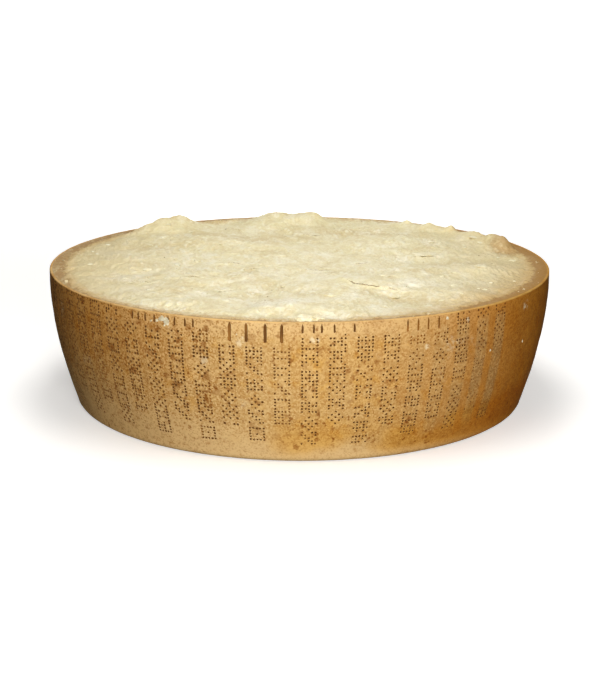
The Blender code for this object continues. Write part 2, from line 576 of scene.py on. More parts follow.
# Crests too sharp for the solid: x, y, reach and height
CRESTS = (
    (-0.119, 0.160, 0.0060, 0.0026),
    (-0.138, 0.146, 0.0090, 0.0012),
    (-0.152, 0.136, 0.0060, 0.0016),
    (-0.019, 0.186, 0.0110, 0.0018),
    (0.016, 0.188, 0.0070, 0.0032),
    (0.104, 0.166, 0.0040, 0.0018),
    (0.124, 0.151, 0.0040, 0.0018),
    (0.144, 0.134, 0.0050, 0.0048),
    (0.174, 0.084, 0.0080, 0.0034),
    (0.186, 0.060, 0.0090, 0.0048),
    (0.188, 0.070, 0.0050, 0.0016),
)

# The crag that the rind's tan has soaked into: x, y and reach
TAN_CRAG = (0.186, 0.060, 0.036)

# The grain of the break is drawn out from front to back, by one over this
BREAK_GRAIN = 0.6


def away_from(path, x, y):
    """How far each place is from a path, and on which side: the far side counts as positive."""
    nearest = np.full(len(x), np.inf)
    side = np.zeros(len(x))
    for (ax, ay), (bx, by) in zip(path, path[1:]):
        length = (bx - ax) ** 2 + (by - ay) ** 2
        share = np.clip(((x - ax) * (bx - ax) + (y - ay) * (by - ay)) / length, 0, 1)
        away = np.hypot(x - ax - share * (bx - ax), y - ay - share * (by - ay))
        across = (bx - ax) * (y - ay) - (by - ay) * (x - ax)
        side = np.where(away < nearest, np.sign(across), side)
        nearest = np.minimum(nearest, away)
    return nearest, side


def shelves(level, step):
    """Turns a slope into flat treads and short steep risers."""
    tread = np.floor(level / step)
    return step * (tread + eased((level / step - tread - 0.75) / 0.25))


def lumps(points, size, seed):
    """Rounded lumps with sharp creases between them, from 0 in a crease to about 1."""
    return np.abs(unevenness(points, size, seed)) * 2


def band_width(x, y):
    return np.interp(np.degrees(np.arctan2(x, -y)), BAND_TURNS, BAND_WIDTHS)


def break_relief(x, y):
    """Height above the solid's face, distance inside the cut band, and the relief's painted light:
    how raised above the grain around it each place is, from -1 in a crease, which gets painted
    shade, to 1 on a grain, which gets a painted highlight."""
    flat = np.zeros_like(x)
    places = np.stack([x, y, flat], -1)
    drawn = places * (1, BREAK_GRAIN, 1)
    bend = 0.006 * np.stack([unevenness(places, 0.02, 21), unevenness(places, 0.02, 22), flat], -1)
    bent = drawn + bend
    inside = BREAK_RADIUS - band_width(x, y) - np.hypot(x, y)
    inside += 0.0020 * unevenness(places, 0.011, 23) + 0.0014 * unevenness(places, 0.0045, 24)
    broken = eased((inside + 0.001) / 0.004)
    broad = 0.0050 * unevenness(bent, 0.040, 25) + 0.0024 * unevenness(bent, 0.014, 26)
    narrow = 0.0024 * unevenness(bent, 0.012, 27) + 0.0009 * unevenness(bent, 0.005, 28)
    relief = 0.42 * (shelves(broad, 0.0014) - 0.85 * broad)
    relief += 0.32 * (shelves(narrow, 0.0008) - 0.75 * narrow)
    rough = 0.35 + 0.65 * eased(0.5 + 1.2 * unevenness(places, 0.035, 31))
    coarse, small = lumps(bent, 0.0070, 33), lumps(drawn + 0.3 * bend, 0.0032, 34)
    grain = 0.0005 * coarse + 0.0007 * small + 0.0003 * unevenness(drawn, 0.0019, 30)
    relief += rough * (grain - 0.0006)
    # Creases get painted shade and raised grains a painted highlight in the paste's colour.
    crease_shade = eased(1 - coarse / 0.14) * 0.7 + eased(1 - small / 0.16) * 0.5
    relief_light = eased((grain - 0.00045) / 0.0009) - crease_shade
    for path, width, depth in SPLITS:
        away, side = away_from(path, x, y)
        lip = 0.18 * depth * np.exp(-((away / (2.2 * depth)) ** 2))
        relief += lip * (1.5 * eased(0.5 + 0.5 * side * away / 0.0009) - 0.5)
    for crest_x, crest_y, reach, height in CRESTS:
        relief += height * np.exp(-((x - crest_x) ** 2 + (y - crest_y) ** 2) / reach**2)
    relief += 0.0007 * eased(1 - np.abs(inside - 0.004) / 0.005)
    knife = 0.00005 * unevenness(places, 0.004, 32)
    return relief * broken + knife * (1 - broken), inside, relief_light * rough * broken


# Paler and deeper places of the break: x, y, reach along and across, turn, and how much paler
TONES = (
    (-0.004, -0.150, 0.050, 0.024, 0, 1.0),
    (-0.085, -0.118, 0.026, 0.016, 20, 0.8),
    (0.066, -0.146, 0.030, 0.012, -40, 0.6),
    (0.110, -0.085, 0.040, 0.020, 0, 0.6),
    (0.145, -0.030, 0.045, 0.013, 0, 0.8),
    (0.010, -0.070, 0.040, 0.020, 10, 0.5),
    (0.120, 0.035, 0.030, 0.012, 0, 0.5),
    (-0.125, -0.050, 0.030, 0.014, 10, 0.7),
    (-0.150, -0.075, 0.020, 0.010, -30, 0.5),
    (-0.010, -0.010, 0.050, 0.020, 10, 0.4),
    (0.086, -0.128, 0.045, 0.009, -40, -0.9),
    (-0.044, -0.125, 0.050, 0.010, 70, -0.8),
    (-0.075, -0.085, 0.030, 0.012, 10, -0.5),
    (0.140, 0.006, 0.055, 0.010, 0, -0.9),
    (0.075, -0.040, 0.060, 0.006, 0, -0.6),
    (-0.110, 0.060, 0.060, 0.020, 10, -1.0),
    (-0.050, 0.110, 0.070, 0.020, 0, -0.9),
    (0.090, 0.120, 0.070, 0.022, -10, -0.9),
    (-0.145, -0.015, 0.030, 0.020, 0, -0.5),
    (-0.125, 0.154, 0.030, 0.010, 20, -0.9),
    (0.002, 0.188, 0.045, 0.010, 0, -1.1),
    (-0.172, 0.045, 0.018, 0.030, 0, 0.8),
)


def tone_of(x, y):
    """How much paler, or deeper below zero, the break is at each place."""
    tone = np.zeros_like(x)
    for tone_x, tone_y, along, across, turn, strength in TONES:
        turn = math.radians(turn)
        u = ((x - tone_x) * math.cos(turn) + (y - tone_y) * math.sin(turn)) / along
        v = ((y - tone_y) * math.cos(turn) - (x - tone_x) * math.sin(turn)) / across
        tone += strength * np.exp(-(u * u + v * v))
    return tone


def wedge(path, width, depth, top, bottom):
    """A closed blade along a path, pointed at its ends and leaning under the path's far side."""
    count = len(path)
    points, faces = [], []
    for k, (x, y) in enumerate(path):
        before, after = Vector(path[max(0, k - 1)]), Vector(path[min(count - 1, k + 1)])
        along = (after - before).normalized()
        far = Vector((-along.y, along.x))
        opening = width * (0.12 if k in (0, count - 1) else 1) / 2
        at = Vector((x, y))
        lean = opening + 0.4 * depth
        for offset, height in ((-opening, top), (opening, top), (lean, bottom)):
            points.append((*(at + far * offset), height))
    for k in range(count - 1):
        for a in range(3):
            b = (a + 1) % 3
            faces.append((3 * k + b, 3 * k + a, 3 * k + 3 + a, 3 * k + 3 + b))
    faces += [(0, 1, 2), (3 * count - 1, 3 * count - 2, 3 * count - 3)]
    return [Vector(p) for p in points], faces


def cut_splits(paste, surface):
    """Cuts each split out of the paste. The inside of a cut takes the second finish, a flat dark
    brown that is painted shade.
    """
    heap = Heap()
    for path, width, depth in SPLITS:
        level = np.mean([surface(x, y) for x, y in path])
        heap.add(*wedge(path, width, depth, level + 0.004, level - depth))
    blades = piece("blades", heap.points, heap.faces, [1] * len(heap.faces))
    cut = paste.modifiers.new("splits", "BOOLEAN")
    cut.operation = "DIFFERENCE"
    cut.solver = "EXACT"
    cut.material_mode = "INDEX"
    cut.object = blades
    graph = bpy.context.evaluated_depsgraph_get()
    mesh = bpy.data.meshes.new_from_object(paste.evaluated_get(graph))
    paste.modifiers.clear()
    paste.data = mesh
    bpy.data.objects.remove(blades)


def make_paste(heights, ticks):
    places, faces = disc(PASTE_RINGS, BREAK_RADIUS - RIM_LEDGE + 0.00005)
    edge = len(places) - 6 * PASTE_RINGS
    x, y = places[:, 0].copy(), places[:, 1].copy()
    spots = np.stack([x, y, np.zeros_like(x)], -1)
    x[:edge] += 0.00035 * unevenness(spots[:edge], 0.0016, 41)
    y[:edge] += 0.00035 * unevenness(spots[:edge], 0.0016, 42)
    relief, inside, relief_light = break_relief(x, y)
    height = RIM_HEIGHT + sampled(heights, ticks, x, y) + relief
    height[edge:] = RIM_HEIGHT
    base = RIM_HEIGHT - TRAY_DEPTH
    points = list(zip(x, y, height))
    lower = len(points)
    points += [(x[k], y[k], base) for k in range(edge, len(places))]
    middle = len(points)
    points.append((0, 0, base))
    count = 6 * PASTE_RINGS
    for k in range(count):
        after = (k + 1) % count
        faces.append((edge + after, edge + k, lower + k, lower + after))
        faces.append((lower + after, lower + k, middle))
    paste = piece("paste", points, faces, smooth_below=50)
    for name, values in (("inside", inside), ("relief_light", relief_light), ("tone", tone_of(x, y))):
        layer = paste.data.attributes.new(name, "FLOAT", "POINT")
        layer.data.foreach_set("value", np.pad(values, (0, len(points) - len(values))))
    cut_splits(paste, lambda x, y: surface_height(x, y, heights, ticks))
    lay_out_paste(paste.data, base)
    return paste


def lay_out_paste(mesh, base):
    """Lays the break out as seen from above, and the hidden wall and base small in two corners."""
    edge = BREAK_RADIUS - RIM_LEDGE
    layer = mesh.uv_layers.get(TEXTURE_MAP) or mesh.uv_layers.new(name=TEXTURE_MAP)
    corners = []
    for face in mesh.polygons:
        places = np.array([mesh.vertices[k].co for k in face.vertices])
        flat = places[:, :2] / edge
        reach = np.hypot(flat[:, 0], flat[:, 1])
        if places[:, 2].max() < base + 0.0001:
            corners.append(flat * 0.06 + (0.07, 0.07))
        elif reach.min() > 0.999 and abs(face.normal.z) < 0.3:
            shares = 0.03 + 0.03 * (places[:, 2:] - base) / TRAY_DEPTH
            corners.append(flat * shares + (0.93, 0.07))
        else:
            corners.append(flat * 0.495 + (0.5, 0.5))
    layer.uv.foreach_set("vector", np.concatenate(corners).astype(np.float32).ravel())


# Loose bits


def lump(size, seed, flatten=1.0, detail=1):
    """The points and faces of a broken crumb."""
    form = bmesh.new()
    bmesh.ops.create_icosphere(form, subdivisions=detail, radius=1)
    form.verts.ensure_lookup_table()
    shift = Vector((seed, seed * 2.3, 0))
    points = []
    for v in form.verts:
        push = 1 + 0.6 * noise.noise(v.co * 1.1 + shift) + 0.5 * noise.noise(v.co * 3.1 + shift)
        points.append(Vector((v.co.x, v.co.y, v.co.z * flatten)) * size * push)
    faces = [tuple(v.index for v in f.verts) for f in form.faces]
    form.free()
    return points, faces


def plate(length, width, thickness, seed):
    """The points and faces of a thin ragged flake, lying flat."""
    count = 22
    rings = ((0.3, 0.9), (0.6, 0.85), (0.85, 0.6), (1.0, 0.0), (0.85, -0.9))
    points, faces = [Vector((0, 0, thickness * 0.45))], []
    for share, level in rings:
        for k in range(count):
            turn = 2 * math.pi * k / count
            out = Vector((math.cos(turn), math.sin(turn), 0))
            ragged = 1 + 0.6 * noise.noise(out * 1.3 + Vector((seed, 0, 0)))
            ragged += 0.35 * noise.noise(out * 4.5 + Vector((seed, 5, 0)))
            rise = 0.9 * noise.noise(out * share * 4 + Vector((0, seed, 0)))
            points.append(Vector((
                out.x * length / 2 * ragged * share,
                out.y * width / 2 * ragged * share,
                thickness * (level + rise) / 2,
            )))
    points.append(Vector((0, 0, -thickness)))
    for k in range(count):
        after = (k + 1) % count
        faces.append((0, 1 + k, 1 + after))
        for ring in range(len(rings) - 1):
            first = 1 + ring * count
            faces.append((first + k, first + count + k, first + count + after, first + after))
        last = 1 + (len(rings) - 1) * count
        faces.append((last + after, last + k, len(points) - 1))
    return points, faces


class Heap:
    """Joins many small lumps into one piece, each with two squares of the texture's grid."""

    def __init__(self):
        self.points, self.faces, self.flat, self.squares = [], [], [], []
        self.lumps = 0

    def add(self, points, faces, matrix=Matrix()):
        first = len(self.points)
        low = [min(p[axis] for p in points) for axis in (0, 1)]
        size = max(max(p[axis] for p in points) - low[axis] for axis in (0, 1))
        self.flat += [((p[0] - low[0]) / size, (p[1] - low[1]) / size) for p in points]
        for face in faces:
            a, b, c = (points[k] for k in face[:3])
            under = (b - a).cross(c - a).z < 0
            self.squares.append(2 * self.lumps + int(under))
            self.faces.append(tuple(first + k for k in face))
        self.points += [tuple(matrix @ p) for p in points]
        self.lumps += 1

    def made(self, name, smooth_below):
        made = piece(name, self.points, self.faces, smooth_below=smooth_below)
        across = math.ceil(math.sqrt(2 * self.lumps))
        layer = made.data.uv_layers.new(name=TEXTURE_MAP)
        corners = []
        for face, square in zip(self.faces, self.squares):
            for k in face:
                u, v = (0.08 + 0.84 * part for part in self.flat[k])
                corners += [(square % across + u) / across, (square // across + v) / across]
        layer.uv.foreach_set("vector", corners)
        return made


def surface_height(x, y, heights, ticks):
    at = np.array([x]), np.array([y])
    return RIM_HEIGHT + float(sampled(heights, ticks, *at)[0] + break_relief(*at)[0][0])


# The larger flakes that the photograph shows: x, y, length, width, and the way the lifted edge
# faces, as an azimuth from the front
FLAKES = (
    (-0.095, -0.060, 0.014, 0.008, 20), (-0.088, -0.062, 0.008, 0.006, -30),
    (-0.060, -0.002, 0.012, 0.007, 10), (-0.038, -0.020, 0.014, 0.008, 25),
    (0.012, 0.124, 0.016, 0.012, 15), (0.052, -0.003, 0.013, 0.009, 30),
    (0.110, 0.032, 0.020, 0.010, 5), (0.028, -0.020, 0.018, 0.009, -15),
    (-0.130, -0.076, 0.012, 0.008, 10), (0.075, -0.062, 0.014, 0.009, 20),
    (-0.002, -0.060, 0.012, 0.008, -10), (0.100, -0.052, 0.016, 0.010, 15),
)
FLAKE_COUNT = 90
FLAKE_MARGIN = 0.024    # no flake nearer the rim than this
CRUMB_COUNT = 110
CRUMB_SIZES = 0.0003, 0.0010

# Larger crumbs on the cut band: azimuth from the front, distance in from the rim, size
BAND_CRUMBS = ((27.5, 0.004, 0.0014), (60.0, 0.006, 0.0012), (-66.0, 0.006, 0.0018))

# Broken paste that spilled onto the front of the rim: its middle, and its half width, half
# depth and half height
SPILL = (0.0062, -BREAK_RADIUS + 0.0095, RIM_HEIGHT + 0.0006)
SPILL_SIZE = (0.0090, 0.0062, 0.0024)

# Paste stuck to the rind: azimuth from the front, distance below the rim, half width and height
STUCK_CHIPS = (
    (-28.9, 0.0044, 0.0024, 0.0022),
    (-27.8, 0.0060, 0.0020, 0.0024),
    (-30.2, 0.0062, 0.0013, 0.0010),
    (-31.6, 0.0072, 0.0009, 0.0008),
    (-28.4, 0.0092, 0.0009, 0.0007),
    (-12.6, 0.0105, 0.0009, 0.0006),
    (31.5, 0.0040, 0.0010, 0.0012),
    (44.7, 0.0376, 0.0008, 0.0010),
    (57.9, 0.0404, 0.0006, 0.0009),
)
CHIP_THICKNESS = 0.0007


def make_flakes(heights, ticks):
    """Thin flakes, each with one edge sunk in the break and the other lifted off it, and the
    spill on the rim."""
    rng = np.random.default_rng(31)
    heap = Heap()
    flakes = list(FLAKES)
    while len(flakes) < FLAKE_COUNT:
        reach = (BREAK_RADIUS - FLAKE_MARGIN) * math.sqrt(rng.random())
        turn = rng.uniform(0, 2 * math.pi)
        length = 0.003 + 0.007 * rng.random() ** 2
        way = rng.uniform(-180, 180)
        flakes.append((reach * math.cos(turn), reach * math.sin(turn), length, 0.75 * length, way))
    for k, (x, y, length, width, way) in enumerate(flakes):
        lift = Matrix.Rotation(math.radians(rng.uniform(3, 6)), 4, "X")
        spin = Matrix.Rotation(math.radians(way), 4, "Z")
        z = surface_height(x, y, heights, ticks) + 0.0001
        thickness = 0.0006 + 0.07 * width
        heap.add(*plate(length, width, thickness, k), Matrix.Translation((x, y, z)) @ spin @ lift)
    spill = Matrix.Translation(SPILL) @ Matrix.Diagonal((*SPILL_SIZE, 1))
    heap.add(*lump(1, 7, 1, 3), spill)
    return heap.made("flakes", 40)


def make_chips():
    """Chips of paste stuck to the rind."""
    heap = Heap()
    for degrees, below, across, tall in STUCK_CHIPS:
        height = RIM_HEIGHT - below
        out = Matrix.Translation((side_radius(height), 0, height))
        size = Matrix.Diagonal((CHIP_THICKNESS, across, tall, 1))
        heap.add(*lump(1, degrees, 1, 3), Matrix.Rotation(facing(degrees), 4, "Z") @ out @ size)
    return heap.made("chips", 25)


def make_crumbs(heights, ticks):
    """Fine crumbs. Every third one lies on the cut band and the others on the break."""
    rng = np.random.default_rng(23)
    heap = Heap()
    crumbs = []
    least, most = CRUMB_SIZES
    for k in range(CRUMB_COUNT):
        degrees = rng.uniform(0, 360)
        inward = rng.uniform(0.013, 0.12) if k % 3 else rng.uniform(0.001, 0.013)
        crumbs.append((degrees, inward, least + (most - least) * rng.random() ** 3))
    for k, (degrees, inward, size) in enumerate(crumbs + list(BAND_CRUMBS)):
        turn, reach = facing(degrees), BREAK_RADIUS - inward
        x, y = reach * math.cos(turn), reach * math.sin(turn)
        z = surface_height(x, y, heights, ticks) + 0.4 * size
        spin = Matrix.Rotation(rng.uniform(0, 2 * math.pi), 4, "Z")
        heap.add(*lump(size, k, 0.7), Matrix.Translation((x, y, z)) @ spin)
    return heap.made("crumbs", 40)


# Finishes


class Wire:
    """A shader value. Sums on it add Math nodes."""

    def __init__(self, finish, socket):
        self.finish = finish
        self.socket = socket

    def sum(self, operation, *others):
        return self.finish.node("Math", {"operation": operation}, *others)

    def __add__(self, other):
        return self.sum("ADD", self, other)

    def __radd__(self, other):
        return self.sum("ADD", other, self)

    def __sub__(self, other):
        return self.sum("SUBTRACT", self, other)

    def __rsub__(self, other):
        return self.sum("SUBTRACT", other, self)

    def __mul__(self, other):
        return self.sum("MULTIPLY", self, other)

    def __rmul__(self, other):
        return self.sum("MULTIPLY", other, self)

    def __truediv__(self, other):
        return self.sum("DIVIDE", self, other)

    def __pow__(self, other):
        return self.sum("POWER", self, other)


class Finish:
    """A material, and the calls that wire up its nodes."""

    def __init__(self, name, **constants):
        self.material = bpy.data.materials.new(name)
        self.material.use_nodes = True
        self.nodes = self.material.node_tree.nodes
        self.links = self.material.node_tree.links
        self.shader = self.nodes["Principled BSDF"]
        for socket, value in constants.items():
            self.shader.inputs[socket.replace("_", " ")].default_value = value
        self.place = self.node("TexCoord", {}, out="Object")

    def node(self, kind, settings, *values, out=0, **named):
        """Adds a node, sets it up, then gives its sockets their values or links."""
        node = self.nodes.new("ShaderNode" + kind)
        for setting, value in settings.items():
            setattr(node, setting, value)
        sockets = list(enumerate(values))
        sockets += [(name.replace("_", " "), value) for name, value in named.items()]
        for key, value in sockets:
            socket = node.inputs[key]
            if isinstance(value, Wire):
                self.links.new(value.socket, socket)
            else:
                socket.default_value = value
        return Wire(self, node.outputs[out])

    def noise(self, size, detail=2.0, roughness=0.5, where=None):
        """Noise from 0 to 1, with features of about the size given."""
        return self.node(
            "TexNoise", {}, Vector=where or self.place, Scale=0.5 / size, Detail=detail,
            Roughness=roughness, out="Fac",
        )

    def grit(self, size):
        """A mosaic of grains about the size given, each with a value of its own from 0 to 1."""
        return self.node("TexVoronoi", {}, Vector=self.place, Scale=1 / size, out="Color")

    def between(self, value, low, high):
        """0 below low and 1 above high, eased in between."""
        return self.node(
            "MapRange", {"interpolation_type": "SMOOTHSTEP"}, value, low, high, 0.0, 1.0
        )

    def blend(self, share, first, second, kind="MIX"):
        """One colour fading into another."""
        mix = self.nodes.new("ShaderNodeMix")
        mix.data_type = "RGBA"
        mix.blend_type = kind
        for key, value in ((0, share), (6, first), (7, second)):
            if isinstance(value, Wire):
                self.links.new(value.socket, mix.inputs[key])
            else:
                mix.inputs[key].default_value = value if key == 0 else (*value, 1)
        return Wire(self, mix.outputs[2])

    def tinted(self, share, colour, tint):
        """A colour darkened by a tint, as a stain darkens what it soaks into."""
        return self.blend(share, colour, tint, "MULTIPLY")

    def away_from(self, middle):
        """Distance from a point."""
        return self.node("VectorMath", {"operation": "DISTANCE"}, self.place, middle, out="Value")

    def flecked(self, colour, value, pale, deep, colours):
        """A colour flecked with a paler one where a value is high, and with a deeper one where it
        is low. Pale and deep each give where flecks begin, where they are full and their share."""
        for (begin, full, share), fleck in zip((pale, deep), colours):
            colour = self.blend(self.between(value, begin, full) * share, colour, fleck)
        return colour

    def apart(self, where):
        """The x, y and z of a place."""
        node = self.nodes.new("ShaderNodeSeparateXYZ")
        self.links.new(where.socket, node.inputs[0])
        return [Wire(self, output) for output in node.outputs]

    def set(self, socket, value):
        self.links.new(value.socket, self.shader.inputs[socket])

    def set_relief(self, height, distance, strength=1.0):
        self.set("Normal", self.node(
            "Bump", {}, Height=height, Distance=distance, Strength=strength, out="Normal"
        ))


# Colours

RIND = (0.50, 0.308, 0.114)
RIND_PALE = (0.66, 0.450, 0.200)
# Bare rind, its paleness also painted light along the foot and under the rim
RIND_BARE_LIT = (0.68, 0.465, 0.220)
RIND_DEEP = (0.36, 0.165, 0.036)
RIND_GREY = (0.37, 0.245, 0.108)
RIND_SCUFF = (0.74, 0.62, 0.40)
AMBER_TINT = (0.95, 0.80, 0.44)
# Painted shade for the rind's left and right, turned away from the lamp
LEFT_SHADE_TINT = (0.92, 0.68, 0.36)
RIGHT_SHADE_TINT = (0.84, 0.49, 0.07)
STAIN_TINT = (0.42, 0.23, 0.065)
# The pale line along the rim's cut: partly paler cut rind, partly a painted highlight
CUT_EDGE_LIT = (0.68, 0.44, 0.175)
CUT_AMBER_LIT = (0.58, 0.34, 0.085)
PRESSED = (0.135, 0.056, 0.012)
GOLDEN_TINT = (1.0, 0.99, 0.92)
BAND_TAN = (0.41, 0.245, 0.088)
BAND_AMBER = (0.38, 0.190, 0.033)
BAND_DEEP = (0.26, 0.150, 0.050)
BAND_PALE = (0.49, 0.33, 0.14)
PASTE = (0.80, 0.72, 0.450)
PASTE_PALE = (0.91, 0.87, 0.70)
PASTE_DEEP = (0.68, 0.565, 0.31)
PASTE_EDGE = (0.56, 0.37, 0.14)
CRUMB = (0.62, 0.52, 0.31)
CHIP = (0.50, 0.42, 0.26)
CHIP_PALE = (0.72, 0.66, 0.48)
# Painted shade for creases in the break
CREASE_SHADE = (0.50, 0.38, 0.19)
# Painted shade: the dark brown inside the splits, where they lie in shadow
SPLIT_SHADE = (0.27, 0.16, 0.055)

# Greyish scuffs and brown stains on the rind: azimuth from the front, height and reach
SCUFFS = (
    (57.7, 0.1070, 0.0060), (26.9, 0.0929, 0.0036), (-19.9, 0.0820, 0.0065),
    (-11.9, 0.1010, 0.0050), (3.1, 0.1034, 0.0040), (-66.0, 0.0960, 0.0080),
    (37.0, 0.1085, 0.0026), (-27.0, 0.1060, 0.0040),
)
STAINS = (
    (-19.2, 0.0709, 0.0046), (-17.4, 0.0625, 0.0036), (-19.7, 0.0582, 0.0030),
    (3.1, 0.0633, 0.0032), (-1.8, 0.0877, 0.0032), (-0.6, 0.0139, 0.0034),
    (-5.2, 0.0865, 0.0030), (-29.8, 0.0782, 0.0040), (-19.0, 0.1085, 0.0030),
    (-28.7, 0.0672, 0.0034), (-22.9, 0.1078, 0.0034), (10.3, 0.0773, 0.0036),
    (-34.6, 0.1070, 0.0040), (-37.8, 0.0660, 0.0036), (-44.5, 0.0470, 0.0036),
)


def spots_of(finish, spots, ragged):
    """How far a place on the rind lies in any of some spots. The last value, from 0 to 1, frays
    their edges."""
    covered = 0.0
    for degrees, height, reach in spots:
        turn, radius = facing(degrees), side_radius(height)
        middle = (radius * math.cos(turn), radius * math.sin(turn), height)
        away = finish.away_from(middle) + 3.2 * reach * (ragged - 0.5)
        covered = finish.between(away, reach, 0.3 * reach) + covered
    return covered


def on_columns(finish, x, y, z):
    """1 on the columns of dots, and 0 on the rind between them, above and below them and on the
    plain side."""
    turn = finish.node("Math", {"operation": "ARCTAN2"}, y, x)
    lap = (turn - (FIRST_COLUMN - 0.5 * DOT_CELLS * DOT_PITCH)) * (COLUMNS / (2 * math.pi))
    across = finish.node("Math", {"operation": "FRACT"}, lap + COLUMNS)
    width = DOT_CELLS * DOT_PITCH * COLUMNS / (2 * math.pi)
    share = finish.between(across, -0.05, 0.12) * finish.between(across, width + 0.06, width - 0.1)
    share = share * finish.between(z, 0.014, 0.026) * finish.between(z, 0.112, 0.104)
    begin, end = (facing(degrees) for degrees in PLAIN_SIDE)
    plain = finish.between(turn, begin - 0.03, begin) * finish.between(turn, end + 0.03, end)
    return share * (1 - plain)


def rind_places(finish):
    """What the rind's colours go by: the place, noises of several sizes, how far left or right,
    and the pale zones along the foot and under the rim, which are bare of marks and also painted
    light: light from below along the foot, reaching higher at the left, and a painted highlight
    under the rim."""
    x, y, z = finish.apart(finish.place)
    at = SimpleNamespace(x=x, z=z, columns=on_columns(finish, x, y, z))
    at.broad = finish.noise(0.045, 3, 0.55)
    at.mottle = finish.noise(0.009, 4, 0.65)
    at.fine = finish.noise(0.0026, 3, 0.7)
    at.grit = finish.grit(0.0012)
    at.left, at.right = finish.between(x, 0.0, -0.12), finish.between(x, 0.0, 0.15)
    # Painted light: the foot is paler as if lit from below, reaching higher at the left.
    lit_foot = 0.013 + 0.022 * finish.between(x, 0.10, 0.0) + 0.028 * at.left
    at.low = finish.between(z, lit_foot, 0.006)
    at.bare = 1 - (1 - at.low) * (1 - 0.85 * finish.between(z, 0.098, 0.113))
    return at


def rind_ground(finish, at):
    """The rind's colour, paler along the foot and under the rim as bare rind and as painted light,
    greyed where the columns are rubbed, with its mottle and grain.
    """
    worn = finish.between(at.x, 0.110, 0.140) * finish.between(at.z, 0.100, 0.086)
    greyed = at.columns * finish.between(at.mottle, 0.66, 0.42) * (0.35 * at.right + 0.5 * worn)
    # Bare rind, with painted light from below along the foot and a painted highlight under the rim.
    colour = finish.blend(at.bare * (0.9 - 0.5 * at.right), RIND, RIND_BARE_LIT)
    colour = finish.blend(greyed, colour, RIND_GREY)
    for value, pale, deep in (
        (at.mottle, (0.50, 0.68, 0.45 + 0.2 * at.left), (0.50, 0.30, 0.25 + 0.1 * at.left)),
        (at.fine, (0.52, 0.70, 0.5), (0.44, 0.28, 0.5 + 0.1 * at.left)),
        (
            at.grit,
            (0.52, 0.85, 0.65 + 0.25 * at.left),
            (0.48, 0.15, (0.55 + 0.4 * at.left) * (1 - 0.45 * at.low)),
        ),
    ):
        colour = finish.flecked(colour, value, pale, deep, (RIND_PALE, RIND_DEEP))
    return colour


def rind_ambers(finish, at, colour, soaked_and_shaded):
    """Amber that has soaked in between the columns and pooled along the foot."""
    amber = finish.between(at.broad, 0.44, 0.74) * 0.5 * (1 - at.left)
    amber = amber + finish.between(finish.noise(0.0065, 3, 0.6), 0.52, 0.68) * 0.55
    colour = finish.tinted(amber * soaked_and_shaded * (1 - at.bare), colour, AMBER_TINT)
    pools = finish.between(at.z, 0.0, 0.012) * finish.between(at.z, 0.044, 0.022)
    pools = pools * finish.between(finish.noise(0.03, 3) + 1.2 * at.x, 0.46, 0.70)
    return finish.tinted(pools * (0.8 + 0.6 * at.right), colour, AMBER_TINT)


def rind_stains(finish, at, colour):
    """Brown stains and freckles, more of them in some patches."""
    patches = finish.noise(0.035, 2) - 0.6 * at.x + 0.05 * at.columns
    patches = finish.between(patches, 0.42, 0.64)
    stains = finish.between(finish.noise(0.0045, 2, 0.5), 0.58, 0.74)
    stains = stains * (0.10 + 0.6 * patches + 0.1 * at.left) * (1 - 0.7 * at.low)
    stains = stains + 0.65 * spots_of(finish, STAINS, at.fine)
    colour = finish.tinted(stains, colour, STAIN_TINT)
    freckles = finish.between(finish.noise(0.0023, 2, 0.5), 0.60, 0.74)
    return finish.tinted(freckles * (0.3 + 0.6 * patches), colour, STAIN_TINT)


def rind_shaded_sides(finish, at, colour, soaked_and_shaded):
    """Painted shade: the deeper, more saturated browns that the rind turns to at the left and the
    right, where its side turns away from the lamp in front.
    """
    uneven = at.x + 0.05 * (at.broad - 0.5)
    left_shade = finish.between(uneven, -0.04, -0.18) * (0.3 + 0.7 * finish.between(at.z, 0.020, 0.100))
    colour = finish.tinted(left_shade * soaked_and_shaded, colour, LEFT_SHADE_TINT)
    return finish.tinted(finish.between(uneven, 0.03, 0.215) * soaked_and_shaded, colour, RIGHT_SHADE_TINT)


def rind_scuffs(finish, at, colour):
    """Pale scuffs."""
    scuffed = 0.5 * finish.between(finish.noise(0.020, 2), 0.64, 0.72)
    scuffed = scuffed + spots_of(finish, SCUFFS, at.mottle)
    scuffs = finish.between(finish.noise(0.0022, 3, 0.7), 0.44, 0.60) * scuffed
    return finish.blend(scuffs * (0.75 - 0.3 * at.left), colour, RIND_SCUFF)


def rind_rim(finish, at, colour):
    """The knife's cut along the rim: a pale line, partly the cut rind's own paler colour and partly
    a painted highlight where the edge catches the light.
    """
    uneven = at.z + 0.0008 * (at.mottle - 0.5)
    edge = finish.between(uneven, RIM_HEIGHT - 0.0011, RIM_HEIGHT - 0.0004)
    edge = edge * (0.4 + finish.between(at.mottle, 0.35, 0.65) * 0.6)
    return finish.blend(
        edge, colour, finish.blend(finish.between(at.x, 0.05, 0.18), CUT_EDGE_LIT, CUT_AMBER_LIT)
    )


def rind_finish():
    finish = Finish("rind", Roughness=0.5, Specular_IOR_Level=0.08)
    at = rind_places(finish)
    # Less amber soaking and less painted side shade on the columns.
    soaked_and_shaded = 1 - at.columns * (0.15 + 0.3 * at.right)
    colour = rind_ambers(finish, at, rind_ground(finish, at), soaked_and_shaded)
    colour = rind_shaded_sides(finish, at, rind_stains(finish, at, colour), soaked_and_shaded)
    finish.set("Base Color", rind_rim(finish, at, rind_scuffs(finish, at, colour)))
    finish.set("Roughness", 0.46 + 0.2 * at.mottle)
    finish.set_relief(at.grit * 0.5 + at.fine, 0.0003, 0.7)
    return finish.material


def pressed_finish():
    finish = Finish("pressed_marks", Roughness=0.8, Specular_IOR_Level=0.15)
    x, _, _ = finish.apart(finish.place)
    shade = finish.blend(finish.between(finish.noise(0.015, 2), 0.5, 0.8), PRESSED, RIND_DEEP)
    finish.set("Base Color", finish.tinted(finish.between(x, 0.02, 0.2), shade, AMBER_TINT))
    return finish.material


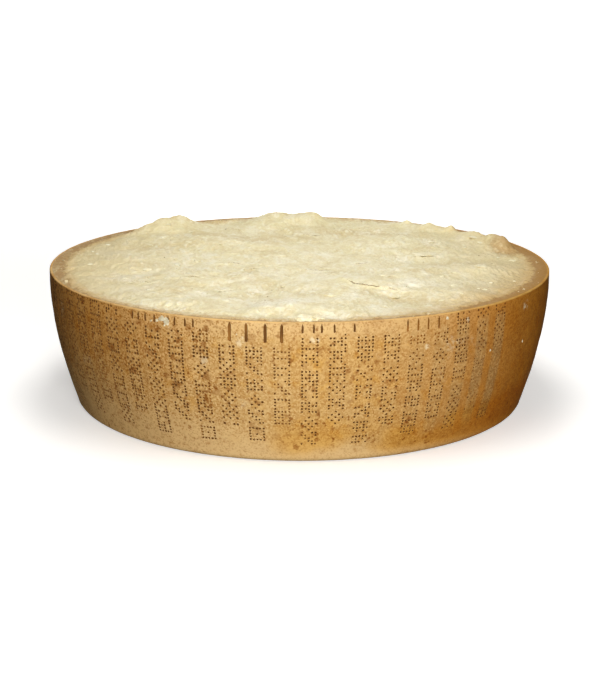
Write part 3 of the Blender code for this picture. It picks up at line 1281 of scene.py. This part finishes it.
def paste_colour(finish, tone, relief_light):
    """The mottled cream of broken paste, with a painted highlight on raised grains and painted
    shade in creases.
    """
    drawn = finish.node("VectorMath", {"operation": "MULTIPLY"}, finish.place, (1, BREAK_GRAIN, 1))
    mottle = finish.noise(0.0080, 4, 0.65, drawn)
    fine = finish.noise(0.0026, 3, 0.7, drawn)
    grain = finish.noise(0.0012, 2, 0.6)
    colour = finish.blend(finish.between(tone, 0.0, -1.0), PASTE, PASTE_DEEP)
    colour = finish.blend(finish.between(tone, 0.1, 1.1) * 0.85, colour, PASTE_PALE)
    for value, pale, deep in (
        (mottle, (0.46, 0.68, 0.7), (0.46, 0.28, 0.8)),
        (fine, (0.50, 0.72, 0.6), (0.48, 0.28, 0.6)),
        (grain, (0.48, 0.75, 0.4), (0.50, 0.22, 0.6)),
    ):
        colour = finish.flecked(colour, value, pale, deep, (PASTE_PALE, PASTE_DEEP))
    # A painted highlight on raised grains and painted shade in creases.
    colour = finish.blend(finish.between(relief_light, 0.1, 1.0) * 0.7, colour, PASTE_PALE)
    colour = finish.blend(finish.between(relief_light, 0.0, -1.2) * 0.5, colour, CREASE_SHADE)
    return colour, mottle, fine, grain


def band_colour(finish, x, inside, mottle, fine, grain):
    """The smooth cut band, deeper and more amber at the right and towards the rim."""
    colour = finish.blend(finish.between(0.5 * (mottle + fine), 0.42, 0.58), BAND_TAN, BAND_PALE)
    colour = finish.blend(finish.between(grain, 0.5, 0.25) * 0.6, colour, BAND_DEEP)
    colour = finish.blend(finish.between(fine, 0.52, 0.68) * 0.5, colour, CRUMB)
    rimward = 0.55 + 0.45 * finish.between(inside, 0.0, -0.010)
    return finish.blend(finish.between(x, 0.04, 0.17) * rimward, colour, BAND_AMBER)


def on_tan_crag(finish, x, y, mottle, fine):
    """1 in the middle of the crag that the tan has soaked into, fading out with ragged edges."""
    crag_x, crag_y, reach = TAN_CRAG
    away = ((2 * (x - crag_x)) ** 2.0 + (y - crag_y) ** 2.0) ** 0.5
    away = away + 0.07 * (mottle - 0.5) + 0.05 * (fine - 0.5)
    return finish.between(away, reach, 0.2 * reach)


def paste_finish():
    finish = Finish("paste", Roughness=0.62, Subsurface_Weight=0.08, Subsurface_Scale=0.002)
    finish.shader.inputs["Subsurface Radius"].default_value = (1.0, 0.7, 0.35)
    inside, relief_light, tone = (
        finish.node("Attribute", {"attribute_name": name}, out="Fac")
        for name in ("inside", "relief_light", "tone")
    )
    x, y, _ = finish.apart(finish.place)
    broad = finish.noise(0.032, 3, 0.55)
    tone = tone + 3.0 * (0.5 - broad)
    colour, mottle, fine, grain = paste_colour(finish, tone, relief_light)
    aside = finish.between(x * x + 0.012 * (broad - 0.5), 0.006, 0.036)
    colour = finish.blend(aside * 0.85, colour, PASTE_DEEP)
    colour = finish.tinted(finish.between(y, -0.06, 0.16) * 0.6, colour, GOLDEN_TINT)
    skirt = finish.between(inside + 0.02 * (mottle - 0.5), 0.045, 0.0) * 0.65
    skirt = skirt * finish.between(x - 0.7 * y, 0.17, 0.23)
    colour = finish.blend(skirt, colour, PASTE_EDGE)
    ragged = inside + 0.010 * (fine - 0.5) + 0.008 * (grain - 0.5)
    colour = finish.blend(finish.between(ragged, 0.014, 0.000) * 0.7, colour, PASTE_EDGE)
    band = band_colour(finish, x, inside, mottle, fine, grain)
    colour = finish.blend(on_tan_crag(finish, x, y, mottle, fine) * 0.7, colour, band)
    colour = finish.blend(finish.between(ragged, 0.0025, -0.0015), colour, band)
    finish.set("Base Color", colour)
    finish.set("Roughness", 0.55 + 0.25 * grain)
    finish.set_relief(grain * 0.5 + fine, 0.0011, 0.9)
    return finish.material


def split_shade_finish():
    # The inside of the splits, a flat dark brown of painted shade.
    return Finish("split_shade", Base_Color=(*SPLIT_SHADE, 1), Roughness=0.8).material


def flake_finish():
    finish = Finish("flake", Roughness=0.6)
    broad = finish.noise(0.032, 3, 0.55)
    # The flakes take a fixed share of the raised grains' painted highlight.
    colour, _, fine, grain = paste_colour(finish, 0.4 + 1.6 * (0.5 - broad), 0.3)
    finish.set("Base Color", colour)
    finish.set_relief(grain * 0.5 + fine, 0.0008, 0.9)
    return finish.material


def chip_finish():
    finish = Finish("chip", Roughness=0.7, Specular_IOR_Level=0.3)
    mottle = finish.between(finish.noise(0.002, 3), 0.3, 0.7)
    finish.set("Base Color", finish.blend(mottle, CHIP, CHIP_PALE))
    return finish.material


def crumb_finish():
    return Finish("crumb", Base_Color=(*CRUMB, 1), Roughness=0.7).material


# The room


FLOOR_LEVEL = -0.0003
FLOOR_REACH = 6.0
WALL_SWEEP = 3.0
WALL_TOP = 8.0
FLOOR_PAINTS = (0.86, 0.86, 0.855), (0.88, 0.88, 0.875)
FLOOR_GLOW = (0.46, 0.46, 0.46), (1, 1, 1)  # near the wheel and far from it
GLOW_GROWS = 0.25, 1.6                      # between these distances from the wheel's axis


def make_floor():
    """A pale floor that sweeps up into a wall far off. It glows a little, so that it stays pale
    where the lights don't reach."""
    profile = [(radius, FLOOR_LEVEL) for radius in (0.0, 0.5, 2.0, FLOOR_REACH)]
    for step in range(1, 9):
        angle = math.pi / 2 * step / 8
        radius = FLOOR_REACH + WALL_SWEEP * math.sin(angle)
        profile.append((radius, WALL_SWEEP - WALL_SWEEP * math.cos(angle)))
    profile.append((FLOOR_REACH + WALL_SWEEP, WALL_TOP))
    count = 96
    points = [(0.0, 0.0, profile[0][1])]
    for radius, height in profile[1:]:
        for k in range(count):
            turn = 2 * math.pi * k / count
            points.append((radius * math.cos(turn), radius * math.sin(turn), height))
    faces = [(0, 1 + k, 1 + (k + 1) % count) for k in range(count)]
    for ring in range(len(profile) - 2):
        first = 1 + ring * count
        for k in range(count):
            after = (k + 1) % count
            faces.append((first + k, first + count + k, first + count + after, first + after))
    floor = piece("floor", points, faces)
    floor.data.materials.append(floor_finish())
    floor.visible_diffuse = False
    floor.visible_glossy = False
    floor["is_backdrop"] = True


def floor_finish():
    finish = Finish("floor_paint", Roughness=0.8, Emission_Strength=1.0)
    finish.set("Base Color", finish.blend(finish.noise(0.4, 2), *FLOOR_PAINTS))
    x, y, _ = finish.apart(finish.place)
    glow = finish.between((x * x + y * y) ** 0.5, *GLOW_GROWS)
    finish.set("Emission Color", finish.blend(glow, *FLOOR_GLOW))
    return finish.material


def aimed(at, place):
    """The turn that points an object's -Z from its place at a point."""
    return (Vector(at) - Vector(place)).to_track_quat("-Z", "Y")


def add_light(name, data, place, power, colour):
    """A light that no view sees."""
    data.energy = power
    data.color = colour
    light = bpy.data.objects.new(name, data)
    light.location = place
    light.visible_camera = False
    bpy.context.scene.collection.objects.link(light)
    return light


def area_light(name, place, at, size, power, colour):
    """A soft rectangle of light, aimed from its place at a point."""
    data = bpy.data.lights.new(name, "AREA")
    data.shape = "RECTANGLE"
    data.size, data.size_y = size
    light = add_light(name, data, place, power, colour)
    light.rotation_mode = "QUATERNION"
    light.rotation_quaternion = aimed(at, place)


def round_light(name, place, radius, power, colour):
    """A soft ball of light."""
    data = bpy.data.lights.new(name, "POINT")
    data.shadow_soft_size = radius
    add_light(name, data, place, power, colour)


def make_lights():
    """A lamp in front and low, a long softbox overhead, and a low fill behind for the far side."""
    area_light("lamp", (0.08, -1.0, 0.23), (0, 0, 0.07), (0.2, 0.2), 7.2, (1, 0.98, 0.94))
    area_light("bounce", (0, -0.42, 0.01), (0, -0.12, 0.25), (0.9, 0.3), 0.32, (1, 0.97, 0.92))
    area_light("softbox", (0, -0.03, 0.85), (0, 0, 0.11), (0.35, 0.9), 5.6, (1, 0.99, 0.97))
    round_light("fill", (0, 1.4, 0.22), 0.25, 16, (1, 0.97, 0.92))
    world = bpy.data.worlds.new("room")
    world.use_nodes = True
    background = world.node_tree.nodes["Background"]
    background.inputs["Color"].default_value = (1, 0.89, 0.72, 1)
    background.inputs["Strength"].default_value = 0.10
    bpy.context.scene.world = world


# The camera, from the photograph's outline: how far off it was, how high it looked down, its
# roll, its focal length in pixels and where its axis meets the picture
PICTURE = (600, 680)
CAMERA_REACH = 1.4072
CAMERA_DOWN = math.radians(14.4328)
CAMERA_ROLL = math.radians(0.2907)
FOCAL_PIXELS = 1600
AXIS_PIXEL = (299.36, 326.59)
SENSOR = 36.0


def make_camera():
    data = bpy.data.cameras.new("camera")
    data.sensor_fit = "AUTO"
    data.sensor_width = SENSOR
    data.lens = FOCAL_PIXELS * SENSOR / max(PICTURE)
    data.shift_x = (PICTURE[0] / 2 - AXIS_PIXEL[0]) / max(PICTURE)
    data.shift_y = (AXIS_PIXEL[1] - PICTURE[1] / 2) / max(PICTURE)
    data.clip_start = 0.05
    data.clip_end = 60
    target = Vector((0, 0, RIM_HEIGHT / 2))
    back = Vector((0, -math.cos(CAMERA_DOWN), math.sin(CAMERA_DOWN)))
    camera = bpy.data.objects.new("camera", data)
    camera.location = target + back * CAMERA_REACH
    camera.rotation_mode = "QUATERNION"
    turn = aimed(target, camera.location)
    camera.rotation_quaternion = turn @ Matrix.Rotation(CAMERA_ROLL, 4, "Z").to_quaternion()
    bpy.context.scene.collection.objects.link(camera)
    bpy.context.scene.camera = camera


def dress(made, slot, *finishes):
    for finish in finishes:
        made.data.materials.append(finish)
    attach(made, "root")
    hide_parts(SOLID)


def main():
    heights, ticks = solid_surface()
    make_camera()
    make_lights()
    make_floor()
    dress(make_rind(), "rind", rind_finish(), pressed_finish())
    dress(make_paste(heights, ticks), "paste", paste_finish(), split_shade_finish())
    dress(make_flakes(heights, ticks), "paste", flake_finish())
    dress(make_chips(), "paste", chip_finish())
    dress(make_crumbs(heights, ticks), "paste", crumb_finish())
    bpy.context.scene.view_settings.view_transform = "Standard"


main()
VISUAL_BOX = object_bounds()
boxes = {"cad": CAD_BOX, "visual": VISUAL_BOX}
{name: [list(corner) for corner in box] for name, box in boxes.items()}
